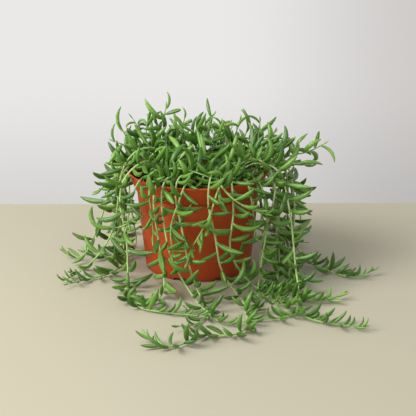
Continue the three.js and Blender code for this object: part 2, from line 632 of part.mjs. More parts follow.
function growLeaves(stems) {
  const crowd = new Cells(9);
  stems.forEach((stem, owner) => {
    for (let i = 0; i + 1 < stem.points.length; i += 1) {
      const line = new THREE.Line3(stem.points[i], stem.points[i + 1]);
      crowd.add(line.getCenter(new THREE.Vector3()), { line, stem: owner, index: i });
    }
  });
  const leaves = [];
  stems.forEach(({ vine, points, parent }, owner) => {
    const random = randomNumbers(7001 + owner * 131);
    const upright = vine.startsWith('shoot');
    const youngest = upright ? uprightYoungLength : youngLength;
    const whole = (points.length - 1) * stemStep;
    let distance = parent ? firstLeaf : plantedDepth + firstLeaf;
    let turn = random() * 2 * Math.PI;
    while (distance <= whole) {
      const index = Math.min(Math.floor(distance / stemStep), points.length - 2);
      const base = points[index].clone().lerp(points[index + 1], distance / stemStep - index);
      const along = points[index + 1].clone().sub(points[index]).normalize();
      const grown = Math.min(1, (whole - distance) / (upright ? uprightTipRun : tipRun));
      const low = base.z < lowHeight;
      const hanging = !low && along.z < steepFall;
      let size = (0.72 + 0.45 * random()) * (youngest + (leafLength - youngest) * grown ** 0.8) / leafLength;
      if (low) size *= 0.84;
      else if (upright) size *= 1.12;
      const slant = 0.55 + (upright ? 0.8 : 0.5) * grown + 0.7 * (random() - 0.5);
      const bend = 0.4 + 1.3 * random() + (random() < 0.12 ? 1 : 0);
      turn += goldenTurn + 1.2 * (random() - 0.5);
      const sway = new THREE.Vector3(random() - 0.5, random() - 0.5, random() - 0.5);
      const swing = hanging ? 1.6 : 3.2;
      sway.multiply(new THREE.Vector3(swing, swing, upright ? 3.6 : 0.6));
      if (upright) sway.z -= 0.6;
      for (let attempt = 0; attempt < leafTries; attempt += 1) {
        const heading = leafHeading(along, turn + attempt * 0.7, slant, low ? 0.5 : 1);
        const upward = new THREE.Vector3(0, 0, 1).add(sway);
        const lift = upward.addScaledVector(heading, -heading.dot(upward)).normalize();
        const shrink = 1 - 0.035 * attempt;
        const leaf = {
          owner, base, heading, lift, bend, grown,
          length: leafLength * size * shrink,
          radius: leafRadius * size ** 0.85 * shrink * (0.7 + 0.3 * grown),
        };
        if (low && heading.z < -0.1) continue;
        if (!leafFits(leaf, crowd, owner, index)) continue;
        leaves.push(leaf);
        for (let k = 1; k <= leafSamples; k += 1) {
          const point = pointOnLeaf(leaf, k / leafSamples);
          crowd.add(point, { point, radius: thicknessOnLeaf(leaf, k / leafSamples) });
        }
        break;
      }
      let spacing = low ? 6 : 8;
      if (hanging) spacing = 9.5;
      distance += (5 + (spacing - 5) * grown) * (0.6 + 0.8 * random());
    }
  });
  return leaves;
}

function leafSolid(leaf) {
  const rings = [0, 0.3, 0.68, 1].map((part) => [part % 1 ? thicknessOnLeaf(leaf, part) : 0, part]);
  const geometry = turned(rings, 3);
  const place = geometry.attributes.position;
  const across = leaf.heading.clone().cross(leaf.lift);
  for (let i = 0; i < place.count; i += 1) {
    const part = place.getZ(i);
    const angle = leaf.bend * part;
    const inward = leaf.lift.clone().multiplyScalar(Math.cos(angle))
      .addScaledVector(leaf.heading, -Math.sin(angle));
    const point = pointOnLeaf(leaf, part)
      .addScaledVector(across, place.getX(i))
      .addScaledVector(inward, place.getY(i));
    place.setXYZ(i, point.x, point.y, point.z);
  }
  return toSolid(geometry);
}

// ---- assembly ----

const stems = growStems();
settleStems(stems);
const leaves = growLeaves(stems);

const group = new THREE.Group();
group.name = 'potted_string_of_bananas';

function addNode(name, solid, colour, roughness) {
  const mesh = new THREE.Mesh(toGeometry(solid), paint(colour, roughness));
  mesh.name = name;
  group.add(mesh);
}

addNode('pot', potSolid(), potColour, 0.45);
addNode('soil', soilSolid(stems), soilColour, 0.95);

const vineNames = [...new Set(stems.map(({ vine }) => vine))];
for (const vine of vineNames) {
  const own = stems.filter((stem) => stem.vine === vine);
  let solid = own
    .map((stem) => tubeSolid(thinned(stem.points, stemFlatness), stemRadius))
    .reduce((a, b) => a.add(b));
  leaves.forEach((leaf, number) => {
    if (stems[leaf.owner].vine !== vine || number % leafShare) return;
    if (leaf.bend > mostBend) return;
    solid = solid.add(leafSolid(leaf));
  });
  addNode(vine, solid, leafGreen, 0.4);
}

export default group;
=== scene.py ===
import json
import math

import bmesh
import bpy
import numpy as np
from mathutils import Matrix, Vector, noise

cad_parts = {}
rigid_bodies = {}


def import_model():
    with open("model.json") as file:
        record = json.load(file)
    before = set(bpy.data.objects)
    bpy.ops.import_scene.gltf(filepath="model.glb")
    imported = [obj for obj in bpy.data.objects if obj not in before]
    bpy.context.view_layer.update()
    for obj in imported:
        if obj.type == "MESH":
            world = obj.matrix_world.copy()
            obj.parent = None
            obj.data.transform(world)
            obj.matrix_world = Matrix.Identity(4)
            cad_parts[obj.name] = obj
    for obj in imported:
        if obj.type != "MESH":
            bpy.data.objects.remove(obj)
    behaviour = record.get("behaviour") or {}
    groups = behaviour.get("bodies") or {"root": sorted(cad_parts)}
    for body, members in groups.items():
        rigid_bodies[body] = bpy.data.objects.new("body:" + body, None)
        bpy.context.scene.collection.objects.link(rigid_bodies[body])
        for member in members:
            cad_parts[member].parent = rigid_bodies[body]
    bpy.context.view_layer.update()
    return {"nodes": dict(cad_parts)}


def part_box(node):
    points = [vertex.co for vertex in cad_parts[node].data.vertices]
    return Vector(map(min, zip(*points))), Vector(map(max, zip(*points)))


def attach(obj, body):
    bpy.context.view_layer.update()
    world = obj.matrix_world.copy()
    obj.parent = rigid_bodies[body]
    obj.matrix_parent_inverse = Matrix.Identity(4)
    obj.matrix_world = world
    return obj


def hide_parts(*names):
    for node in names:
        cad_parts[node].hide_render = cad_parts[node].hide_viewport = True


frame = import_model()
print("frame loaded:", len(frame["nodes"]), "nodes")

mm = 0.001

# ---- camera ----

cameraSettings = {"target": (0.0111, 0, 0.0669), "distance": 1.301, "elevation": 18.17, "lens": 99.35}


def makeCamera(settings):
    lens = bpy.data.cameras.new("camera")
    lens.lens = settings["lens"]
    camera = bpy.data.objects.new("camera", lens)
    tilt = math.radians(settings["elevation"])
    back = Vector((0, -math.cos(tilt), math.sin(tilt)))
    camera.location = Vector(settings["target"]) + back * settings["distance"]
    camera.rotation_euler = (-back).to_track_quat("-Z", "Y").to_euler()
    bpy.context.collection.objects.link(camera)
    bpy.context.scene.camera = camera


makeCamera(cameraSettings)

# ---- shader maths ----


class Wire:  # a socket whose arithmetic adds Math nodes
    def __init__(self, shader, socket):
        self.shader = shader
        self.socket = socket

    def calc(self, operation, *values):
        return self.shader.node("ShaderNodeMath", {"operation": operation}, dict(enumerate(values)))

    def __add__(self, other):
        return self.calc("ADD", self, other)

    def __radd__(self, other):
        return self.calc("ADD", other, self)

    def __sub__(self, other):
        return self.calc("SUBTRACT", self, other)

    def __rsub__(self, other):
        return self.calc("SUBTRACT", other, self)

    def __mul__(self, other):
        return self.calc("MULTIPLY", self, other)

    def __rmul__(self, other):
        return self.calc("MULTIPLY", other, self)


class Shader:
    def __init__(self, name, isWorld=False, **constants):
        self.material = (bpy.data.worlds if isWorld else bpy.data.materials).new(name)
        self.material.use_nodes = True
        self.tree = self.material.node_tree
        self.skin = self.tree.nodes["Background" if isWorld else "Principled BSDF"]
        for socket, value in constants.items():
            self.skin.inputs[socket.replace("_", " ")].default_value = value

    def node(self, kind, settings, inputs, output=0):
        made = self.tree.nodes.new(kind)
        for key, value in settings.items():
            if key == "stops":
                self.setStops(made.color_ramp, value)
            else:
                setattr(made, key, value)
        for key, value in inputs.items():
            if isinstance(value, Wire):
                self.tree.links.new(value.socket, made.inputs[key])
            else:
                made.inputs[key].default_value = value
        return Wire(self, made.outputs[output])

    def setStops(self, ramp, stops):
        while len(ramp.elements) < len(stops):
            ramp.elements.new(0.5)
        for element, (place, colour) in zip(ramp.elements, stops):
            element.position = place
            element.color = (*colour, 1)

    def place(self):
        return self.node("ShaderNodeTexCoord", {}, {}, "Object")

    def noise(self, scale, detail=2.0, roughness=0.5):
        inputs = {"Vector": self.place(), "Scale": scale, "Detail": detail, "Roughness": roughness}
        return self.node("ShaderNodeTexNoise", {}, inputs, "Fac")

    def value(self, name):  # a number stored on the mesh
        return self.node("ShaderNodeAttribute", {"attribute_name": name}, {}, "Fac")

    def between(self, value, low, high):  # 0 below low, 1 above high
        inputs = {"Value": value, "From Min": low, "From Max": high}
        return self.node("ShaderNodeMapRange", {"interpolation_type": "SMOOTHSTEP"}, inputs, "Result")

    def ramp(self, value, stops):
        return self.node("ShaderNodeValToRGB", {"stops": stops}, {0: value}, "Color")

    def mix(self, share, first, second, blend="MIX"):
        inputs = {0: share, 6: colour(first), 7: colour(second)}
        return self.node("ShaderNodeMix", {"data_type": "RGBA", "blend_type": blend}, inputs, 2)

    def bump(self, height, strength, distance):
        inputs = {"Height": height, "Strength": strength, "Distance": distance}
        return self.node("ShaderNodeBump", {}, inputs, "Normal")

    def feed(self, socket, wire):
        self.tree.links.new(wire.socket, self.skin.inputs[socket])


def colour(value):
    return value if isinstance(value, Wire) else (*value, 1)


# ---- materials ----


def leafSkin():
    shader = Shader("leafSkin", Subsurface_Weight=0.1, Subsurface_Scale=0.004, Specular_IOR_Level=0.6)
    shader.skin.inputs["Subsurface Radius"].default_value = (0.5, 1.0, 0.25)
    along = shader.value("along")
    blotch = shader.noise(160, 3)
    tone = shader.value("tone") + 0.35 * (blotch - 0.5)
    green = shader.ramp(tone, [
        (0.0, (0.036, 0.118, 0.008)), (0.4, (0.095, 0.240, 0.023)),
        (0.75, (0.200, 0.40, 0.060)), (1.0, (0.38, 0.62, 0.14)),
    ])
    # The pale stripe along the top of each leaf is partly its real translucent window and partly a painted
    # highlight along the lit upper side.
    windowAndHighlight = shader.between(shader.value("inner"), 0.80, 0.98) * shader.between(along, 0.08, 0.25)
    green = shader.mix(0.55 * windowAndHighlight * (1 - shader.between(along, 0.75, 0.95)), green, (0.36, 0.57, 0.17))
    green = shader.mix(1 - shader.between(along, 0.02, 0.16), green, (0.30, 0.47, 0.13))
    green = shader.mix(0.6 * shader.between(along, 0.93, 1.0), green, (0.20, 0.17, 0.05))
    withered = shader.value("dry") * shader.between(along + 0.5 * (blotch - 0.5), 0.78, 0.95)
    green = shader.mix(withered, green, (0.20, 0.095, 0.035))
    shader.feed("Base Color", green)
    shader.feed("Roughness", 0.28 + 0.2 * shader.noise(500, 2))
    shader.feed("Normal", shader.bump(shader.noise(900, 3), 0.25, 0.0002))
    return shader.material


def stemSkin():
    shader = Shader("stemSkin", Subsurface_Weight=0.1, Subsurface_Scale=0.003, Specular_IOR_Level=0.4)
    shader.skin.inputs["Subsurface Radius"].default_value = (0.6, 1.0, 0.3)
    age = shader.value("age")
    patch = shader.noise(55, 2)
    pale = shader.ramp(age, [
        (0.0, (0.20, 0.42, 0.08)), (0.25, (0.36, 0.56, 0.17)), (1.0, (0.46, 0.62, 0.26)),
    ])
    blush = shader.between(patch, 0.52, 0.66) * shader.between(age, 0.2, 0.7)
    pale = shader.mix(0.6 * blush, pale, (0.38, 0.24, 0.13))
    pale = shader.mix(0.5 * shader.value("node"), pale, (0.20, 0.34, 0.09))
    shader.feed("Base Color", pale)
    shader.feed("Roughness", 0.45 + 0.2 * shader.noise(300, 2))
    shader.feed("Normal", shader.bump(shader.noise(700, 3), 0.3, 0.0002))
    return shader.material


def potPlastic():
    shader = Shader("potPlastic", Specular_IOR_Level=0.35)
    grain = shader.noise(1400, 3, 0.6)
    cloud = shader.noise(18, 3)
    height = shader.node("ShaderNodeSeparateXYZ", {}, {0: shader.place()}, "Z")
    clay = shader.mix(shader.between(cloud, 0.3, 0.7), (0.49, 0.064, 0.009), (0.56, 0.082, 0.014))
    clay = shader.mix(0.25 * shader.between(grain, 0.55, 0.75), clay, (0.56, 0.12, 0.04))
    # Painted shade: a dark band just under the collar's ledge, where the ledge shades the wall.
    paintedLedgeShade = shader.between(height, 0.0905, 0.0925) * (1 - shader.between(height, 0.0926, 0.0935))
    clay = shader.mix(0.55 * paintedLedgeShade, clay, (0.20, 0.030, 0.008))
    # Darker towards the bottom, with a ragged upper edge.
    darkerFoot = 1 - shader.between(height + 0.004 * (cloud - 0.5), 0.002, 0.009)
    clay = shader.mix(0.45 * darkerFoot, clay, (0.26, 0.045, 0.012))
    shader.feed("Base Color", clay)
    shader.feed("Roughness", 0.40 + 0.2 * grain)
    shader.feed("Normal", shader.bump(grain, 0.35, 0.0002))
    return shader.material


def pottingMix():
    shader = Shader("pottingMix", Roughness=0.95, Specular_IOR_Level=0.2)
    fleck = shader.noise(420, 4, 0.7)
    earth = shader.ramp(fleck, [
        (0.3, (0.012, 0.008, 0.005)), (0.55, (0.045, 0.028, 0.016)), (0.8, (0.12, 0.075, 0.04)),
    ])
    shader.feed("Base Color", earth)
    shader.feed("Normal", shader.bump(shader.noise(500, 4), 0.8, 0.001))
    return shader.material


def perliteGrain():
    shader = Shader("perliteGrain", Roughness=0.9)
    shader.feed("Base Color", shader.mix(shader.noise(600, 2), (0.75, 0.73, 0.68), (0.45, 0.42, 0.36)))
    return shader.material


def rootSkin():
    shader = Shader("rootSkin", Roughness=0.6)
    shader.feed("Base Color", shader.mix(shader.noise(300, 2), (0.33, 0.07, 0.03), (0.45, 0.20, 0.10)))
    return shader.material


def tableTop():
    shader = Shader("tableTop", Roughness=0.75, Specular_IOR_Level=0.25)
    shader.feed("Base Color", shader.mix(shader.noise(3, 2), (0.505, 0.47, 0.36), (0.475, 0.44, 0.335)))
    return shader.material


skins = {
    "leaf": leafSkin(), "stem": stemSkin(), "pot": potPlastic(), "soil": pottingMix(),
    "perlite": perliteGrain(), "root": rootSkin(), "table": tableTop(),
}
print("materials made")

# ---- mesh helpers ----


def keep(bm, name, skin, node=None, slot=None, smooth=True):
    mesh = bpy.data.meshes.new(name)
    bm.to_mesh(mesh)
    bm.free()
    mesh.polygons.foreach_set("use_smooth", [smooth] * len(mesh.polygons))
    piece = bpy.data.objects.new(name, mesh)
    piece.data.materials.append(skins[skin])
    bpy.context.collection.objects.link(piece)
    if slot:
        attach(piece, "root")
    if node:
        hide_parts(node)
    return piece


def sideways(along):  # a level direction across a stem or leaf
    side = Vector((0, 0, 1)).cross(along)
    if side.length < 0.2:
        side = Vector((1, 0, 0)).cross(along)
    return side.normalized()


# Grows a closed tube by extruding its end face from ring to ring.
# rings: (centre, along, across, width, depth).
def sweep(bm, rings, sides, values):
    layers = {name: bm.verts.layers.float.get(name) or bm.verts.layers.float.new(name) for name in values}
    end = None
    for number, (centre, along, across, width, depth) in enumerate(rings):
        if end is None:
            circle = bmesh.ops.create_circle(bm, cap_ends=True, segments=sides, radius=1)
            end = circle["verts"][0].link_faces[0]
        else:
            grown = bmesh.ops.extrude_face_region(bm, geom=[end, *end.edges, *end.verts])["geom"]
            end = next(item for item in grown if isinstance(item, bmesh.types.BMFace))
        up = along.cross(across)
        for turn, vert in enumerate([corner.vert for corner in end.loops]):
            angle = 2 * math.pi * turn / sides
            vert.co = centre + across * (width * math.cos(angle)) + up * (depth * math.sin(angle))
            for name, layer in layers.items():
                vert[layer] = values[name](number, angle)

# ---- stems: where each one runs, in millimetres, as in the frame ----

growth = {
    "ground": 101.0, "soilCrown": 1.5, "wallTopRadius": 69.0, "rimRadius": 79.0, "potHeight": 114.0,
    "plantedDepth": 6.0, "step": 4.0, "stemRadius": 1.0,
    "wallClearance": 2.9, "stemClearance": 3.0, "restHeight": 1.5, "rounds": 40, "pairEvery": 4,
    "pairReach": 16.0, "stiffness": 0.2, "wallHalf": 1.1, "insideRadius": 76.0,
    "leafLength": 31.0, "leafRadius": 3.2, "youngLength": 15.0, "uprightYoung": 20.0, "samples": 9,
    "wander": 1.3, "wanderRun": 6, "gap": 0.3, "goldenTurn": 2.39996,
    "firstLeaf": 5.0, "tipRun": 60.0, "uprightTipRun": 22.0, "lowHeight": 10.0, "steepFall": -0.4,
    "leafTries": 9, "tryTurn": 0.7, "tryShrink": 0.035, "lowSize": 0.84, "uprightSize": 1.12,
    "spacing": 8.0, "hangingSpacing": 9.5, "lowSpacing": 6.0, "tipSpacing": 5.0,
}
ground = growth["ground"]

stemRoutes = {
  "vine_left": [
    [[[-18, 8, ground], [-38, 0, 134], [-62, -12, 142], [-78, -20, 131], [-85, -26, 112], [-87, -28, 92],
      [-90, -28, 68], [-97, -28, 44], [-111, -27, 22], [-127, -34, 6], [-137, -48, 3], [-146, -63, 4]]],
    [[[-35, 18, ground], [-55, 10, 128], [-78, 4, 125], [-93, 2, 108], [-101, 0, 86], [-107, 0, 66],
      [-113, 0, 47], [-121, 0, 28], [-128, 3, 10], [-136, 4, 3], [-145, 8, 3], [-155, 22, 6]]],
    [[[-40, 40, ground], [-58, 42, 124], [-72, 44, 120], [-80, 47, 98], [-80, 48, 60], [-76, 48, 26],
      [-74, 40, 6], [-78, 24, 3], [-92, 12, 3], [-106, 12, 3], [-122, 18, 3], [-134, 30, 6]]],
    [[[-50, 22, ground], [-64, 26, 124], [-78, 27, 120], [-87, 26, 98], [-87, 24, 56], [-83, 21, 22],
      [-79, 10, 4], [-82, -8, 3], [-93, -30, 3], [-108, -48, 3], [-124, -58, 3], [-140, -78, 5]]],
    [[[-28, -18, ground], [-48, -30, 132], [-68, -42, 130], [-81, -50, 115], [-83, -55, 88], [-79, -60, 56],
      [-77, -62, 28], [-76, -67, 8], [-74, -86, 3], [-70, -114, 3], [-61, -138, 3], [-45, -145, 3],
      [-26, -151, 3], [-8, -156, 3], [6, -160, 5]]],
    [[[-30, 32, ground], [-60, 20, 134], [-84, 8, 120], [-92, 2, 94], [-94, -2, 68], [-92, -6, 46],
      [-90, -9, 30]]],
    [[[-48, -4, ground], [-70, -12, 126], [-86, -18, 112], [-89, -22, 92], [-87, -26, 70], [-84, -32, 50],
      [-83, -35, 36]]],
    [[[-42, 4, ground], [-70, -2, 132], [-90, -6, 112], [-99, -8, 98], [-108, -10, 92], [-115, -10, 92]]],
  ],
  "vine_front": [
    [[[-44, -22, ground], [-56, -46, 122], [-65, -54, 115], [-71, -59, 98], [-74, -62, 80], [-77, -64, 66]]],
    [[[-30, -42, ground], [-44, -60, 122], [-52, -70, 112], [-51, -75, 92], [-49, -77, 70], [-48, -79, 54]]],
    [[[-22, -44, ground], [-38, -64, 123], [-46, -74, 113], [-46, -79, 84], [-42, -82, 54], [-36, -84, 28],
      [-34, -92, 9], [-39, -110, 3], [-46, -127, 3], [-60, -134, 3], [-70, -122, 4], [-66, -104, 5]]],
    [[[-14, -34, ground], [-30, -60, 124], [-38, -77, 115], [-39, -83, 95], [-36, -87, 74], [-30, -92, 50],
      [-20, -101, 28], [-8, -114, 10], [2, -130, 3], [11, -150, 3], [20, -172, 3], [34, -184, 3],
      [44, -178, 5]]],
    [[[-2, -28, ground], [-15, -60, 126], [-23, -82, 116], [-22, -87, 92], [-16, -93, 66], [-9, -101, 40],
      [-1, -113, 18], [5, -126, 5], [9, -146, 3], [6, -168, 3], [-2, -184, 3], [-16, -190, 6]]],
    [[[6, -40, ground], [-8, -66, 122], [-17, -81, 115], [-21, -87, 96], [-29, -90, 80], [-29, -92, 64],
      [-26, -94, 46], [-25, -96, 32]]],
    [[[12, -26, ground], [16, -60, 126], [13, -83, 116], [11, -88, 98], [14, -91, 80], [20, -94, 58],
      [22, -94, 40], [28, -94, 22], [38, -99, 6], [47, -116, 3], [51, -138, 3], [52, -162, 3],
      [50, -183, 3], [43, -200, 3], [32, -209, 3], [18, -204, 3], [5, -200, 3], [-3, -213, 3],
      [-14, -230, 3], [-28, -236, 3], [-41, -229, 3], [-52, -212, 8]]],
    [[[26, -34, ground], [25, -64, 124], [21, -82, 115], [17, -88, 96], [11, -93, 82], [1, -97, 66],
      [-9, -100, 54], [-12, -103, 40]]],
    [[[38, -28, ground], [36, -58, 124], [36, -77, 116], [38, -83, 98], [38, -85, 82], [33, -87, 58],
      [36, -86, 40], [45, -84, 24], [55, -80, 9], [63, -84, 3], [72, -100, 3], [68, -122, 3],
      [56, -132, 5]]],
    [[[20, -50, ground], [20, -70, 122], [27, -86, 114], [40, -91, 104], [54, -90, 96], [66, -88, 90],
      [76, -86, 87]]],
    [[[50, -34, ground], [52, -56, 122], [56, -64, 113], [58, -71, 94], [60, -74, 76], [62, -76, 62]]],
  ],
  "vine_right": [
    [[[32, -18, ground], [56, -30, 136], [76, -42, 130], [85, -50, 112], [81, -57, 90], [74, -61, 68],
      [70, -62, 48], [68, -62, 28], [68, -64, 12], [72, -76, 3], [81, -100, 3], [89, -124, 3],
      [99, -147, 3], [112, -164, 3], [126, -173, 3], [142, -180, 3], [156, -186, 3], [166, -190, 5]]],
    [[[42, -4, ground], [66, -12, 148], [90, -20, 138], [103, -26, 112], [107, -30, 80], [106, -36, 50],
      [104, -46, 26], [99, -62, 9], [96, -82, 3], [100, -102, 3], [110, -118, 3], [122, -124, 3],
      [138, -118, 3], [153, -106, 6]]],
    [[[46, 14, ground], [72, 10, 138], [94, 6, 122], [104, 4, 92], [107, 2, 60], [109, 0, 34],
      [115, -4, 14], [126, -12, 4], [144, -30, 3], [163, -48, 3], [178, -54, 3], [192, -40, 7]]],
    [[[52, -28, ground], [74, -34, 132], [92, -46, 116], [99, -58, 88], [102, -70, 58], [105, -88, 28],
      [108, -112, 8], [105, -138, 3], [95, -157, 3], [78, -166, 3], [60, -167, 3]]],
    [[[38, 30, ground], [66, 24, 138], [88, 16, 118], [93, 12, 88], [92, 8, 56], [90, 2, 28],
      [94, -10, 8], [100, -26, 3], [112, -46, 3], [118, -66, 5]]],
    [[[30, -32, ground], [60, -30, 132], [82, -32, 118], [87, -34, 90], [86, -38, 58], [84, -44, 26],
      [87, -60, 7], [92, -82, 3], [86, -106, 3], [88, -128, 4]]],
    [[[54, 16, ground], [76, 2, 132], [96, -8, 120], [101, -14, 94], [100, -18, 66], [97, -22, 42],
      [97, -26, 26]]],
    [[[56, -12, ground], [76, -18, 122], [88, -24, 106], [91, -28, 76], [90, -34, 44], [89, -48, 18],
      [84, -68, 4], [78, -90, 3], [76, -112, 3], [82, -134, 5]]],
    [[[52, -40, ground], [64, -50, 120], [72, -56, 104], [74, -64, 66], [70, -72, 28], [65, -86, 5],
      [63, -110, 3], [62, -134, 3], [66, -152, 5]]],
    [[[60, 0, ground], [82, -2, 126], [100, -6, 108], [112, -12, 84], [116, -18, 62]]],
  ],
  "vine_back": [
    [[[30, 44, ground], [52, 52, 126], [64, 62, 116], [72, 68, 92], [76, 74, 60], [78, 80, 28],
      [84, 90, 5], [96, 100, 3], [112, 104, 3], [128, 98, 5]]],
    [[[18, 50, ground], [32, 66, 124], [38, 78, 116], [41, 86, 92], [42, 92, 58], [40, 98, 24],
      [38, 110, 4], [46, 124, 3], [60, 130, 4]]],
    [[[2, 46, ground], [8, 70, 126], [8, 82, 116], [8, 88, 94], [7, 92, 70], [8, 95, 48]]],
    [[[-14, 48, ground], [-24, 68, 126], [-30, 80, 116], [-33, 87, 90], [-34, 92, 56], [-32, 98, 22],
      [-36, 110, 4], [-50, 122, 3], [-66, 124, 4]]],
    [[[-30, 46, ground], [-46, 60, 124], [-55, 68, 116], [-60, 76, 90], [-62, 82, 56], [-66, 90, 22],
      [-76, 98, 4], [-92, 100, 3], [-108, 92, 5]]],
    [[[50, 36, ground], [66, 42, 126], [78, 46, 114], [86, 50, 86], [90, 54, 54], [92, 60, 24],
      [100, 66, 5], [114, 66, 3], [128, 56, 5]]],
    [[[-8, 54, ground], [-12, 74, 120], [-14, 84, 112], [-12, 90, 86], [-10, 96, 56], [-6, 104, 24],
      [2, 116, 4], [18, 124, 4]]],
    [[[-56, 32, ground], [-70, 44, 122], [-80, 54, 106], [-86, 60, 80], [-90, 66, 54]]],
  ],
  "shoot": [
    [[[-30, 6, ground], [-46, 8, 124], [-58, 10, 142], [-67, 10, 158], [-74, 9, 170]],
      [[-58, 10, 142], [-60, 16, 154], [-58, 19, 164]], [[-46, 8, 124], [-52, -4, 138], [-60, -10, 148]]],
    [[[-20, 20, ground], [-30, 22, 126], [-37, 24, 146], [-40, 25, 162], [-37, 26, 180]],
      [[-37, 24, 146], [-44, 18, 158], [-49, 14, 166]], [[-30, 22, 126], [-24, 12, 138], [-24, 6, 150]]],
    [[[-8, 16, ground], [-14, 18, 124], [-20, 20, 142], [-18, 20, 156], [-14, 20, 166]],
      [[-20, 20, 142], [-26, 26, 152], [-28, 30, 160]], [[-14, 18, 124], [-6, 24, 138], [-4, 28, 150]]],
    [[[-4, 2, ground], [-3, 6, 124], [0, 9, 144], [8, 10, 160], [19, 10, 174]],
      [[0, 9, 144], [-5, 2, 154], [-8, -4, 160]], [[-3, 6, 124], [-14, 2, 134], [-20, -4, 142]]],
    [[[26, 22, ground], [36, 26, 124], [42, 29, 142], [45, 30, 154], [47, 30, 164]],
      [[36, 26, 124], [30, 32, 138], [29, 38, 149]], [[36, 26, 124], [38, 14, 138], [36, 6, 148]]],
    [[[44, 16, ground], [56, 18, 122], [66, 20, 138], [71, 20, 152], [70, 20, 162]],
      [[56, 18, 122], [62, 10, 136], [61, 4, 146]], [[66, 20, 138], [76, 24, 144], [84, 26, 148]]],
    [[[58, 4, ground], [72, 6, 116], [84, 9, 127], [94, 10, 133]],
      [[72, 6, 116], [76, 16, 128], [84, 22, 134]]],
    [[[56, -6, ground], [76, -4, 120], [98, -1, 128], [118, 0, 131], [130, 0, 135], [142, 0, 143]],
      [[98, -1, 128], [108, 5, 136], [114, 8, 143]], [[76, -4, 120], [82, -10, 132], [90, -14, 138]]],
    [[[50, -18, ground], [70, -22, 118], [90, -24, 124], [106, -22, 127], [118, -18, 123]],
      [[70, -22, 118], [74, -30, 128], [84, -38, 134]]],
    [[[-40, -2, ground], [-58, 0, 121], [-72, 0, 136], [-80, 0, 152], [-86, 0, 164]],
      [[-72, 0, 136], [-84, -5, 144], [-93, -8, 147]], [[-58, 0, 121], [-66, 8, 132], [-76, 14, 140]]],
    [[[36, 36, ground], [46, 39, 124], [54, 41, 142], [57, 42, 154]],
      [[46, 39, 124], [56, 46, 134], [64, 50, 142]]],
    [[[10, 34, ground], [18, 38, 126], [25, 41, 144], [27, 42, 156]],
      [[18, 38, 126], [12, 46, 138], [12, 52, 148]]],
    [[[-4, 34, ground], [0, 40, 126], [5, 44, 142], [8, 45, 155]],
      [[0, 40, 126], [-10, 44, 138], [-16, 46, 148]]],
    [[[-36, 26, ground], [-47, 30, 124], [-54, 33, 140], [-57, 35, 152]],
      [[-47, 30, 124], [-44, 40, 136], [-44, 46, 146]], [[-47, 30, 124], [-60, 28, 132], [-72, 26, 138]]],
    [[[-34, -22, ground], [-40, -36, 120], [-30, -50, 129], [-8, -60, 129], [14, -66, 124], [34, -66, 121]],
      [[-30, -50, 129], [-22, -56, 137], [-16, -58, 146]]],
    [[[30, -10, ground], [26, -20, 122], [10, -28, 136], [-12, -32, 142], [-34, -34, 143]],
      [[26, -20, 122], [34, -36, 132], [40, -48, 133]], [[10, -28, 136], [6, -40, 142], [2, -48, 146]]],
    [[[-24, -22, ground], [-37, -31, 120], [-49, -39, 132], [-57, -46, 136]],
      [[-37, -31, 120], [-34, -42, 132], [-34, -54, 137]]],
    [[[38, -12, ground], [47, -25, 122], [58, -38, 134], [65, -48, 136]],
      [[47, -25, 122], [44, -38, 132], [44, -50, 137]]],
    [[[4, 10, ground], [9, 4, 126], [14, -1, 142], [18, -5, 154]],
      [[9, 4, 126], [2, -7, 138], [-1, -15, 146]], [[9, 4, 126], [20, 6, 138], [26, 10, 150]]],
    [[[20, 58, ground], [27, 65, 119], [34, 75, 130], [37, 84, 136]],
      [[27, 65, 119], [18, 70, 130], [14, 76, 138]]],
    [[[-28, 54, ground], [-39, 59, 119], [-49, 65, 132], [-55, 69, 143]],
      [[-39, 59, 119], [-34, 66, 132], [-32, 70, 140]]],
  ],
}

wallLine = np.array([(0, 0.8), (58, 0.8), (59.3, 3), (68.3, 92.2), (69.7, 93.5), (77.9, 113.3)], float)


def randomNumbers(seed):
    while True:
        seed = (seed * 1664525 + 1013904223) & 0xFFFFFFFF
        yield seed / 4294967296


def pointsAlong(route):
    knots = np.array(route, float)
    last = len(knots) - 1
    dense = [knots[0]]
    for i in range(last):
        before, after = knots[max(i - 1, 0)], knots[min(i + 2, last)]
        leaving, arriving = (knots[i + 1] - before) / 2, (after - knots[i]) / 2
        for t in np.arange(1, 17) / 16:
            dense.append(knots[i] * (2 * t**3 - 3 * t**2 + 1) + leaving * (t**3 - 2 * t**2 + t)
                         + knots[i + 1] * (3 * t**2 - 2 * t**3) + arriving * (t**3 - t**2))
    points = [dense[0]]
    owed = growth["step"]
    for start, stop in zip(dense, dense[1:]):
        rest = np.linalg.norm(stop - start)
        while rest >= owed:
            start = start + (stop - start) * (owed / rest)
            points.append(start)
            rest -= owed
            owed = growth["step"]
        owed -= rest
    return np.array(points)


# Gives a stem the small, slow bends that it grows with. Its planted end and its root stay put.
def wander(points, seed):
    draw = randomNumbers(seed)
    waves = [(0.15 + 0.2 * next(draw), 6.28 * next(draw), 6.28 * next(draw)) for _ in range(3)]
    places = np.arange(len(points))
    shares = np.minimum(1, places / growth["wanderRun"]) * growth["wander"] / 2
    for rate, phase, other in waves:
        points[:, 0] += shares * np.sin(places * rate + phase)
        points[:, 1] += shares * np.sin(places * rate + other)


def growStems():
    stems = []
    for kind, vines in stemRoutes.items():
        for number, routes in enumerate(vines):
            vine = f"{kind}_{number + 1}"
            main = {"vine": vine, "points": pointsAlong(routes[0]), "parent": None, "pinned": 4}
            buried = [main["points"][0] * (1, 1, 0) + (0, 0, ground - depth)
                      for depth in (growth["plantedDepth"], growth["plantedDepth"] / 2)]
            main["points"] = np.vstack([buried, main["points"]])
            wander(main["points"], 411 + 17 * len(stems))
            parent = len(stems)
            stems.append(main)
            for route in routes[1:]:
                side = {"vine": vine, "points": pointsAlong(route), "parent": parent, "pinned": 1}
                wander(side["points"], 411 + 17 * len(stems))
                stems.append(side)
    return stems


